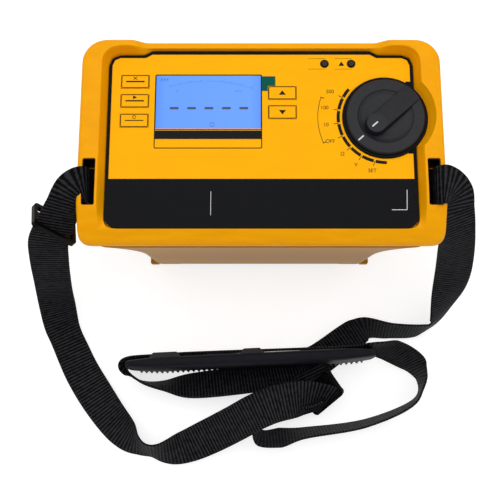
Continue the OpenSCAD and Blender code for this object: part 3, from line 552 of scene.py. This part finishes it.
lower = tub()
lid_lo, lid_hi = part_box("battery_lid")
block_lo, block_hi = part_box("socket_block")
bay_lo, bay_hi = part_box("battery_box")
skid_inner = 0.0745
skid_outer = 0.081
skids = []
for side in (-1, 1):
    x0, x1 = sorted((side * skid_inner, side * skid_outer))
    skids.append(prism(box_points(x0, x1, -case_half_depth + 0.0092, case_half_depth - 0.015, 0.001),
                       0.0, base_z + 0.002))
cut_with(lower, skids, "UNION")
gap = 0.0003
openings = [
    prism(box_points(lid_lo.x - gap, lid_hi.x + gap, -case_half_depth, lid_hi.y + gap), -0.001,
          lid_hi.z + 0.0002),
    prism(box_points(bay_lo.x - 0.001, bay_hi.x + 0.001, bay_lo.y - 0.001, bay_hi.y + 0.001), -0.001,
          base_z + 0.006),
    prism(box_points(block_lo.x - gap, block_hi.x + gap, block_hi.y - 0.003 - gap, case_half_depth),
          block_lo.z - gap, block_hi.z + gap),
    prism(box_points(block_lo.x + 0.002, block_hi.x - 0.002, block_hi.y - 0.017, case_half_depth),
          block_lo.z + 0.002, block_hi.z - 0.002)]
screw_head_radius = 0.0037
screw_lo, screw_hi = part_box("case_screws")
screw_places = [(x, y) for x in (screw_lo.x + screw_head_radius, screw_hi.x - screw_head_radius)
                for y in (screw_lo.y + screw_head_radius, screw_hi.y - screw_head_radius)]
openings += [prism(circle(x, y, 0.004, 32), -0.001, base_z + 0.0015) for x, y in screw_places]
openings += [prism(circle(x, y, 0.00215, 24), -0.001, base_z + 0.006) for x, y in screw_places]
cut_with(lower, openings)
lower.data.materials.append(tub_yellow_painted_shade)
round_edges(lower, 0.0006, 40)
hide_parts("lower_shell")


# ---------------------------------------------------------------------------
# Control panel: black moulded plate that carries everything on the face. It
# drops into the bezel and shows as a rim, a collar and the strip in front.
def moulded_finish(name, tone, roughness, grain, scale=1800.0, shine=0.08):
    """Moulded surface with a fine grain, slightly uneven in tone and in gloss."""
    material, tree, shader = new_material(name, roughness, Specular_IOR_Level=shine)
    fine = noise(tree, scale, 4.0, 0.65)
    broad = noise(tree, 25.0, 6.0)
    darker = tuple(c * 0.7 for c in tone[:3]) + (1,)
    tree.links.new(ramp(tree, broad, (0.35, darker), (0.65, tone)), shader.inputs["Base Color"])
    gloss = add_node(tree, "ShaderNodeMapRange", {"Value": broad, "To Min": roughness - 0.06,
                                                  "To Max": roughness + 0.08})
    tree.links.new(gloss.outputs["Result"], shader.inputs["Roughness"])
    add_bump(tree, shader, fine, grain, 0.6)
    return material


def dress(node, material, bevel=0.0, angle=35):
    """Gives a CAD node its finish, and breaks its edges where they show."""
    obj = nodes[node]
    obj.data.materials.clear()
    obj.data.materials.append(material)
    if bevel:
        round_edges(obj, bevel, angle)
    else:
        soften(obj, angle)


panel_black = moulded_finish("panel_black", linear(12, 13, 17), 0.5, 0.00006)
dress("control_panel", panel_black, 0.0004)


# ---------------------------------------------------------------------------
# Front overlay: printed polyester film bonded to the panel, yellow with a
# fine velvet texture. Its lines and symbols are screen printed in black.
def film_material():
    material, tree, shader = new_material("overlay_film", 0.42, Specular_IOR_Level=0.05)
    tree.links.new(ramp(tree, noise(tree, 9.0, 3.0), (0.3, linear(255, 176, 0)),
                        (0.7, linear(255, 181, 0))), shader.inputs["Base Color"])
    add_bump(tree, shader, noise(tree, 2600.0), 0.00003, 0.5)
    return material


def two_tone(name, roughness, scale, dark, light, detail=2.0, high=0.7, **sockets):
    """A smooth finish that drifts a little between two tones."""
    material, tree, shader = new_material(name, roughness, **sockets)
    tree.links.new(ramp(tree, noise(tree, scale, detail), (0.3, dark), (high, light)),
                   shader.inputs["Base Color"])
    return material


film = film_material()
dress("front_overlay", film)
ink = two_tone("printed_black", 0.5, 1200.0, linear(14, 12, 9), linear(28, 24, 16), high=0.8,
               Specular_IOR_Level=0.1)
print_lift = 0.00006


def print_shapes(name, shapes, z, body="case", material=ink, slot="dark_print"):
    """Flat printed shapes, each a closed outline with an optional hole of as many points."""
    verts, faces = [], []
    for outline, hole in shapes:
        start, n = len(verts), len(outline)
        verts += [(x, y, z) for x, y in outline] + [(x, y, z + print_lift) for x, y in outline]
        if hole is None:
            faces.append(tuple(start + n + i for i in range(n)))
            faces.append(tuple(start + n - 1 - i for i in range(n)))
            faces += [(start + i, start + (i + 1) % n, start + n + (i + 1) % n, start + n + i)
                      for i in range(n)]
            continue
        verts += [(x, y, z) for x, y in hole] + [(x, y, z + print_lift) for x, y in hole]
        for i in range(n):
            j = (i + 1) % n
            faces += [(start + i, start + j, start + n + j, start + n + i),
                      (start + n + i, start + n + j, start + 3 * n + j, start + 3 * n + i),
                      (start + 2 * n + j, start + 2 * n + i, start + 3 * n + i, start + 3 * n + j),
                      (start + j, start + i, start + 2 * n + i, start + 2 * n + j)]
    obj = mesh_object(name, verts, faces, body, slot, smooth=False)
    obj.data.materials.append(material)


def frame_shape(x0, x1, y0, y1, line, radius):
    """A printed outline of a rectangle with rounded corners."""
    return (box_points(x0, x1, y0, y1, radius),
            box_points(x0 + line, x1 - line, y0 + line, y1 - line, max(radius - line, 0.0001)))


def bar_shape(x0, y0, x1, y1, line):
    """A straight printed line from one point to another."""
    d = Vector((x1 - x0, y1 - y0)).normalized()
    n = Vector((-d.y, d.x)) * line / 2
    return ([(x0 - n.x, y0 - n.y), (x1 - n.x, y1 - n.y), (x1 + n.x, y1 + n.y),
             (x0 + n.x, y0 + n.y)], None)


def tick_shape(cx, cy, inner, outer, degrees, line):
    """A short printed line that points away from a centre."""
    c, s = math.cos(math.radians(degrees)), math.sin(math.radians(degrees))
    return bar_shape(cx + inner * c, cy + inner * s, cx + outer * c, cy + outer * s, line)


def arc_shape(cx, cy, inner, outer, start, end, n=12):
    """A printed arc between two angles, in degrees."""
    angles = [math.radians(start + (end - start) * i / n) for i in range(n + 1)]
    return ([(cx + inner * math.cos(a), cy + inner * math.sin(a)) for a in angles]
            + [(cx + outer * math.cos(a), cy + outer * math.sin(a)) for a in angles[::-1]], None)


def upright(shape):
    """Turns an outline counter-clockwise, so that its faces look up."""
    outline, hole = shape
    area = sum(a[0] * b[1] - b[0] * a[1] for a, b in zip(outline, outline[1:] + outline[:1]))
    return (outline, hole) if area > 0 else (outline[::-1], hole and hole[::-1])


window_lo, window_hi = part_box("display_window")
bar_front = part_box("display_bar")[0].y
lamp_centres = []
for lamp in ("lamp_left", "lamp_right"):
    lo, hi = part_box(lamp)
    lamp_centres.append(((lo.x + hi.x) / 2, (lo.y + hi.y) / 2))
art = [frame_shape(window_lo.x - 0.0008, window_hi.x + 0.0008, bar_front - 0.0062,
                   window_hi.y + 0.0008, 0.0006, 0.0010),
       bar_shape(window_lo.x - 0.0008, window_lo.y - 0.0009, window_hi.x + 0.0008,
                 window_lo.y - 0.0009, 0.0005)]
# lines above and below each lamp, and a warning triangle by the right one
for x, y in lamp_centres:
    for dy in (-0.0036, 0.0036):
        art.append(bar_shape(x - 0.0105, y + dy, x + 0.0005, y + dy, 0.00018))
tx, ty = lamp_centres[1][0] - 0.0062, lamp_centres[1][1]
art.append(([(tx - 0.0018, ty - 0.0014), (tx + 0.0018, ty - 0.0014), (tx, ty + 0.0016)], None))
# range arc round the knob, with a gap and a tick at each position
rest_angle = 221.2
detent = 17.1
positions = [rest_angle + detent * k for k in (-4, -3, -2, -1, 0, 1, 2)]
edges = [138] + positions + [271.5]
arc_inner, arc_outer = collar_radius + 0.0018, collar_radius + 0.0038
for a, b in zip(edges[:-1], edges[1:]):
    art.append(arc_shape(knob_x, knob_y, arc_inner, arc_outer, a + 1.2, b - 1.2))
for a in positions:
    art.append(tick_shape(knob_x, knob_y, arc_outer - 0.0012, arc_outer + 0.0022, a, 0.0004))
# thin bracket outside the figures, with a short foot at each end
bracket = 0.0418
bracket_ends = (161, 203)
art.append(arc_shape(knob_x, knob_y, bracket, bracket + 0.00035, *bracket_ends, 24))
for a in bracket_ends:
    art.append(tick_shape(knob_x, knob_y, bracket - 0.0018, bracket + 0.0006, a, 0.0005))
print_shapes("overlay_lines", [upright(s) for s in art], film_top)


def letters(name, text, x, y, size, z):
    """Generic figures or unit signs, printed in black and centred on a point."""
    curve = bpy.data.curves.new(name, "FONT")
    curve.body = text
    curve.size = size
    curve.align_x = "CENTER"
    curve.align_y = "CENTER"
    curve.extrude = print_lift / 2
    obj = bpy.data.objects.new(name, curve)
    bpy.context.scene.collection.objects.link(obj)
    obj.location = (x, y, z + print_lift / 2)
    bpy.context.view_layer.update()
    mesh = bpy.data.meshes.new_from_object(obj)
    mesh.transform(obj.matrix_world)
    bpy.data.objects.remove(obj)
    done = bpy.data.objects.new(name, mesh)
    bpy.context.scene.collection.objects.link(done)
    mesh.materials.clear()
    mesh.materials.append(ink)
    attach(done, "case")


dial = ("500", "100", "10", "OFF", "Ω", "V", "SET")
offsets = (0.0072, 0.0072, 0.0062, 0.0068, 0.0050, 0.0050, 0.0046)
for k, (label, a, off) in enumerate(zip(dial, positions, offsets)):
    reach = arc_outer + 0.0008 + off
    letters(f"dial_{k}", label, knob_x + reach * math.cos(math.radians(a)),
            knob_y + reach * math.sin(math.radians(a)), 0.0034, film_top)


# ---------------------------------------------------------------------------
# Keys: five film-faced caps over snap domes, outlined in black. The two on
# the right carry arrows, the three on the left a short line and a sign.
key_names = ("key_upper_left", "key_middle_left", "key_lower_left", "key_up", "key_down")
for key in key_names:
    dress(key, film, 0.0002)
    lo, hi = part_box(key)
    cx, cy = (lo.x + hi.x) / 2, (lo.y + hi.y) / 2
    marks = [frame_shape(lo.x + 0.0001, hi.x - 0.0001, lo.y + 0.0001, hi.y - 0.0001, 0.0005, 0.0008)]
    if key in ("key_up", "key_down"):
        up = 1 if key == "key_up" else -1
        marks.append(([(cx - 0.0022, cy - 0.0013 * up), (cx + 0.0022, cy - 0.0013 * up),
                       (cx, cy + 0.0016 * up)], None))
    else:
        marks.append(bar_shape(cx - 0.0058, cy, cx + 0.0058, cy,
                               0.0006 if key == "key_lower_left" else 0.0009))
        key_signs = {
            "key_upper_left": [bar_shape(cx - 0.0012, cy + 0.0012, cx + 0.0012, cy + 0.0032, 0.0004),
                               bar_shape(cx - 0.0012, cy + 0.0032, cx + 0.0012, cy + 0.0012, 0.0004)],
            "key_middle_left": [([(cx - 0.0011, cy + 0.0011), (cx + 0.0014, cy + 0.0023),
                                  (cx - 0.0011, cy + 0.0035)], None)],
            "key_lower_left": [arc_shape(cx, cy + 0.0022, 0.0008, 0.0012, 0, 330, 20)]}
        marks += key_signs[key]
    print_shapes(key + "_print", [upright(m) for m in marks], hi.z, key + "_body")


# ---------------------------------------------------------------------------
# Display: a clear pane over a backlit liquid crystal glass. Lit, it glows a
# soft blue with dark segments: a dotted scale, five dashes and small signs.
def lit_window():
    material, tree, shader = new_material("lit_display", 0.3, Specular_IOR_Level=0.2,
                                          Base_Color=linear(40, 70, 140), Emission_Strength=0.86)
    place = add_node(tree, "ShaderNodeTexCoord").outputs["Object"]
    split = add_node(tree, "ShaderNodeSeparateXYZ", {"Vector": place})
    share = add_node(tree, "ShaderNodeMapRange", {
        "Value": split.outputs["X"], "From Min": window_lo.x, "From Max": window_hi.x})
    glow = ramp(tree, share.outputs["Result"], (0.0, linear(84, 140, 246)),
                (0.08, linear(98, 156, 255)), (0.9, linear(104, 160, 255)),
                (1.0, linear(90, 146, 248)))
    tree.links.new(glow, shader.inputs["Emission Color"])
    return material


dress("display_window", lit_window(), 0.0003)
segment = new_material("dark_segment", 0.3, Base_Color=linear(24, 34, 92))[0]
signs = []
wx = (window_lo.x + window_hi.x) / 2
dash_pitch = 0.0109
for k in range(-2, 3):
    x = wx + k * dash_pitch + 0.0004
    y = window_lo.y + 0.0132
    signs.append((box_points(x - 0.0028, x + 0.0028, y - 0.0008, y + 0.0008, 0.0006), None))
# dotted scale: an arc of short ticks, longer at every fifth
scale_radius = 0.080
scale_y = window_hi.y - 0.0040 - scale_radius
for k in range(41):
    tall = 0.0012 if k % 5 == 0 else 0.0005
    signs.append(tick_shape(wx, scale_y, scale_radius, scale_radius + tall, 107.5 - k * 0.93,
                            0.00028))
# small signs: a ring below the dashes, hooks in the corner, strokes by the scale
signs.append(arc_shape(wx + 0.0024, window_lo.y + 0.0024, 0.0012, 0.0015, 0, 350, 28))
sign_line = 0.0003
for dx in (-0.0302, -0.0284, -0.0266):
    x, top = wx + dx, window_hi.y - 0.0022
    signs.append(bar_shape(x, window_hi.y - 0.0040, x + 0.0009, top, sign_line))
    signs.append(bar_shape(x, top, x + 0.0013, top, sign_line))
for dx in (-0.0200, 0.0170, 0.0186, 0.0202):
    x = wx + dx
    signs.append(bar_shape(x, window_hi.y - 0.0110, x + 0.0003, window_hi.y - 0.0098, sign_line))
print_shapes("display_segments", [upright(s) for s in signs], window_hi.z, material=segment)

dress("display_bar", moulded_finish("bar_black", linear(24, 23, 24), 0.5, 0.00002))
dress("lcd_module", moulded_finish("module_grey", linear(190, 195, 190), 0.5, 0.00003))
green_film = two_tone("green_film", 0.4, 120.0, linear(0, 80, 68), linear(0, 90, 78),
                      Specular_IOR_Level=0.05)
dress("film_tab", green_film, 0.0001)


# ---------------------------------------------------------------------------
# Lamps: two small indicator lenses of dark tinted plastic, unlit. They fit
# holes in the panel, stand a little proud, and each has a printed ring.
lens = two_tone("lamp_lens", 0.3, 400.0, linear(34, 22, 18), linear(52, 34, 26),
                Specular_IOR_Level=0.15)
for lamp in ("lamp_left", "lamp_right"):
    dress(lamp, lens)
for k, (x, y) in enumerate(lamp_centres):
    print_shapes(f"lamp_ring_{k}", [(circle(x, y, 0.0028, 40), circle(x, y, 0.0021, 40))], film_top)


# ---------------------------------------------------------------------------
# White print on the black strip: a corner bracket and a thin divider, both
# screen printed.
white_ink = two_tone("printed_white", 0.5, 900.0, linear(200, 200, 200), linear(232, 232, 232))
strip = [bar_shape(0.0795, open_front + 0.0114, 0.0888, open_front + 0.0114, 0.0004),
         bar_shape(0.0888, open_front + 0.0114, 0.0893, open_front + 0.0241, 0.0004),
         bar_shape(-0.031, open_front + 0.008, -0.031, open_front + 0.023, 0.0003)]
print_shapes("strip_lines", [upright(s) for s in strip], panel_z, material=white_ink,
             slot="white_inlay")


# ---------------------------------------------------------------------------
# Rotary selector: one black moulding, a stepped disc with a grip bar, held
# on its steel shaft. White marks are filled into the bar's end and the disc.
knob_black = moulded_finish("knob_black", linear(30, 31, 36), 0.38, 0.00014, 1300.0, 0.24)
dress("knob", knob_black, 0.0003, 30)
dress("knob_marks", white_ink)
steel = two_tone("plated_steel", 0.3, 300.0, linear(150, 152, 156), linear(190, 192, 196),
                 detail=6.0, Metallic=1.0)
brass = two_tone("turned_brass", 0.28, 300.0, linear(190, 150, 80), linear(215, 178, 104),
                 detail=6.0, Metallic=1.0)
for node in ("switch_shaft", "switch_nut", "board_screws", "key_domes", "fuse_clips",
             "battery_springs", "lid_screws", "case_screws"):
    dress(node, steel)
for node in ("switch_bush", "socket_sleeves"):
    dress(node, brass)


# ---------------------------------------------------------------------------
# Inside and behind: boards and what is soldered on them, the battery bay and
# the socket block in the rear wall. Most of it only shows with the case open.
board_green = moulded_finish("board_green", linear(20, 92, 48), 0.4, 0.00004)
for node in ("display_board", "main_board"):
    dress(node, board_green)
inside_black = moulded_finish("inside_black", linear(10, 10, 11), 0.45, 0.00008)
for node in ("switch_housing", "socket_block", "battery_box", "battery_lid", "slot_liner_left",
             "slot_liner_right", "chips", "case_seal", "lid_seal"):
    dress(node, inside_black, 0.0003 if node in ("socket_block", "battery_lid") else 0.0)
for node, colour in (("transformer", linear(205, 165, 60)), ("relays", linear(222, 222, 216)),
                     ("capacitors", linear(38, 52, 120)), ("fuse", linear(210, 214, 210)),
                     ("battery_cells", linear(60, 90, 120))):
    dress(node, moulded_finish(node + "_finish", colour, 0.35, 0.00003))


# ---------------------------------------------------------------------------
# Sliders: three-bar buckles moulded in black acetal. One is threaded on the
# left webbing below its slot, the other joins the two lengths by the pad.
slider_black = moulded_finish("slider_black", linear(10, 10, 12), 0.36, 0.00005)
for node in ("slider_left", "slider_right"):
    dress(node, slider_black, 0.0006, 30)


# ---------------------------------------------------------------------------
# Shoulder pad: soft black rubber, ribbed on the side that grips the shoulder,
# with the webbing running through keepers on its other side.
pad_length = 0.172
pad_height = 0.044
pad_thickness = 0.0085
pad_corner = 0.008
tooth_pitch = 0.0038
tooth_depth = 0.0016
pad_place = (Matrix.Translation((-0.006, -0.129, 0.003))
             @ Matrix.Rotation(math.radians(2.5), 4, "Z")
             @ Matrix.Rotation(math.radians(-1.5), 4, "Y"))


def pad_mesh():
    """The pad as rings along its length, thinner at the ends, toothed low on the ribbed side."""
    rows = []
    steps = 480
    around = 40
    for i in range(steps + 1):
        x = -pad_length / 2 + pad_length * i / steps
        from_end = pad_length / 2 - abs(x)
        squeeze = min(1.0, from_end / pad_corner)
        round_end = math.sqrt(max(1 - (1 - squeeze) ** 2, 0.0))
        half_height = (pad_height / 2 - pad_corner) + pad_corner * round_end
        half_thick = pad_thickness / 2 * (0.55 + 0.45 * min(1.0, from_end / 0.022) ** 0.7)
        wave = 0.5 + 0.5 * math.cos(2 * math.pi * x / tooth_pitch)
        tooth = tooth_depth * wave ** 1.5 if from_end > 0.006 else 0
        row = []
        for j in range(around):
            a = 2 * math.pi * j / around
            c, s = math.cos(a), math.sin(a)
            y = half_thick * math.copysign(abs(c) ** 0.55, c)
            z = half_height * math.copysign(abs(s) ** 0.35, s)
            if y < 0:
                y -= tooth * min(1.0, abs(c) * 1.6) * min(max((-0.25 - s) / 0.35, 0.0), 1.0)
            row.append((x, y, pad_height / 2 + z))
        rows.append(row)
    return [pad_place @ Vector(p) for row in rows for p in row], tube_faces(len(rows), around)


def keeper_mesh(x0, x1, rise):
    """A flat bridge over the webbing on the pad's back, sloped at its ends."""
    rows = []
    for x, out in ((x0 - 0.0035, 0.0), (x0, 1.0), (x1, 1.0), (x1 + 0.0035, 0.0)):
        back = pad_thickness / 2 - 0.001 + out * rise
        rows.append([(x, pad_thickness / 2 - 0.003, 0.007), (x, back, 0.008),
                     (x, back, pad_height - 0.0045),
                     (x, pad_thickness / 2 - 0.003, pad_height - 0.0005)])
    return [pad_place @ Vector(p) for row in rows for p in row], tube_faces(4, 4)


pad = mesh_object("shoulder_pad_body", *pad_mesh(), "case", "pad_rubber")
pad_rubber = moulded_finish("pad_rubber", linear(27, 27, 33), 0.5, 0.00012, 900.0, 0.06)
pad.data.materials.append(pad_rubber)
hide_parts("shoulder_pad")
keeper_rise = 0.0038
keeper_rubber = moulded_finish("keeper_rubber", linear(52, 52, 55), 0.5, 0.0001, 900.0)
for name, x0, x1 in (("pad_keeper_end", -0.066, -0.050), ("pad_keeper_middle", -0.004, 0.007)):
    keeper = mesh_object(name, *keeper_mesh(x0, x1, keeper_rise), "case", "pad_rubber",
                         smooth=False)
    keeper.data.materials.append(keeper_rubber)


# ---------------------------------------------------------------------------
# Studio: a plain pale floor, two large soft lamps overhead, and a sky that is
# brighter above than at its edge.
floor_half = 4
floor = bpy.data.objects.new("floor", bpy.data.meshes.new("floor"))
floor.data.from_pydata([(-floor_half, -floor_half, 0), (floor_half, -floor_half, 0),
                        (floor_half, floor_half, 0), (-floor_half, floor_half, 0)],
                       [], [(0, 1, 2, 3)])
bpy.context.scene.collection.objects.link(floor)
floor_paper = two_tone("floor_paper", 0.9, 300.0, (0.50, 0.50, 0.50, 1), (0.52, 0.52, 0.52, 1),
                       Specular_IOR_Level=0.1, Emission_Color=(1, 1, 1, 1), Emission_Strength=0.7)
floor.data.materials.append(floor_paper)

world = bpy.data.worlds.new("studio")
world.use_nodes = True
sky = world.node_tree
direction = add_node(sky, "ShaderNodeTexCoord").outputs["Generated"]
height = add_node(sky, "ShaderNodeSeparateXYZ", {"Vector": direction}).outputs["Z"]
glow = add_node(sky, "ShaderNodeMapRange", {"Value": height, "From Min": 0.0, "From Max": 1.0,
                                            "To Min": 0.22, "To Max": 0.85})
sky.links.new(glow.outputs["Result"], sky.nodes["Background"].inputs["Strength"])
sky.nodes["Background"].inputs["Color"].default_value = (1, 1, 1, 1)
bpy.context.scene.world = world
light_target = Vector((0, -0.03, 0.05))
for name, place, size, power in (("overhead_light", (-0.15, 0.35, 1.5), 1.3, 8.5),
                                 ("side_light", (0.8, 0.2, 1.2), 0.8, 1.5)):
    light = bpy.data.lights.new(name, "AREA")
    light.size = size
    light.energy = power
    stand = bpy.data.objects.new(name, light)
    stand.location = place
    stand.rotation_euler = (light_target - Vector(place)).to_track_quat("-Z", "Y").to_euler()
    bpy.context.scene.collection.objects.link(stand)
bpy.context.scene.view_settings.view_transform = "Standard"
